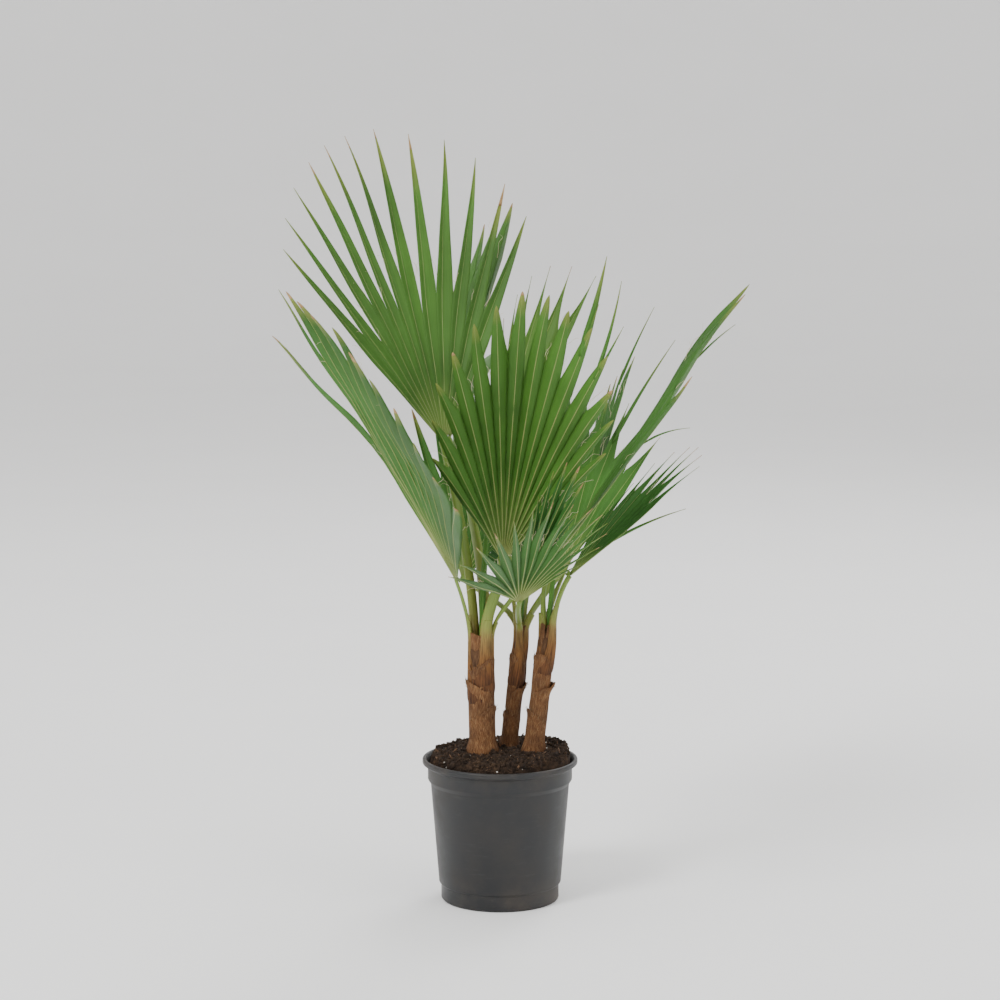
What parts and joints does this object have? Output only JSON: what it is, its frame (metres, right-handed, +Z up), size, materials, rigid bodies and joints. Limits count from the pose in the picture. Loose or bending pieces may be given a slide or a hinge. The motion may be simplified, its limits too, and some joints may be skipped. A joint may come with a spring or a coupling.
{
  "type": "potted mexican fan palm",
  "caption": "Potted young fan palm: slender fibrous stems carry long stalks with pleated, deeply split fan leaves, in a round tapered nursery pot filled with soil.",
  "frame": {"origin": "centre of the pot's flat underside", "axes": "+Z up along the pot's axis, -Y towards the side that the picture shows, +X to its right"},
  "size_m": [0.4259, 0.4688, 0.6947],
  "materials": {
    "pot_plastic": "satin",
    "potting_soil": "matte",
    "stem_fibre": "matte",
    "leaf_stalk": "satin",
    "leaf_green": "satin"
  },
  "bodies": {
    "root": {"pot": "pot_plastic", "soil": "potting_soil", "stem_left": "stem_fibre", "stem_middle": "stem_fibre", "stem_right": "stem_fibre", "stalk_left_low": "leaf_stalk", "frond_left_low": "leaf_green", "stalk_left_high": "leaf_stalk", "frond_left_high": "leaf_green", "stalk_left_back": "leaf_stalk", "frond_left_back": "leaf_green", "stalk_centre_front": "leaf_stalk", "frond_centre_front": "leaf_green", "stalk_centre_young": "leaf_stalk", "frond_centre_young": "leaf_green", "stalk_right_high": "leaf_stalk", "frond_right_high": "leaf_green", "stalk_right_low": "leaf_stalk", "frond_right_low": "leaf_green", "stalk_right_back": "leaf_stalk", "frond_right_back": "leaf_green", "stalk_front_left": "leaf_stalk", "frond_front_left": "leaf_green", "stalk_front_right": "leaf_stalk", "frond_front_right": "leaf_green", "stalk_back_left": "leaf_stalk", "frond_back_left": "leaf_green", "stalk_back_low": "leaf_stalk", "frond_back_low": "leaf_green", "stalk_back_right": "leaf_stalk", "frond_back_right": "leaf_green"}
  },
  "joints": []
}
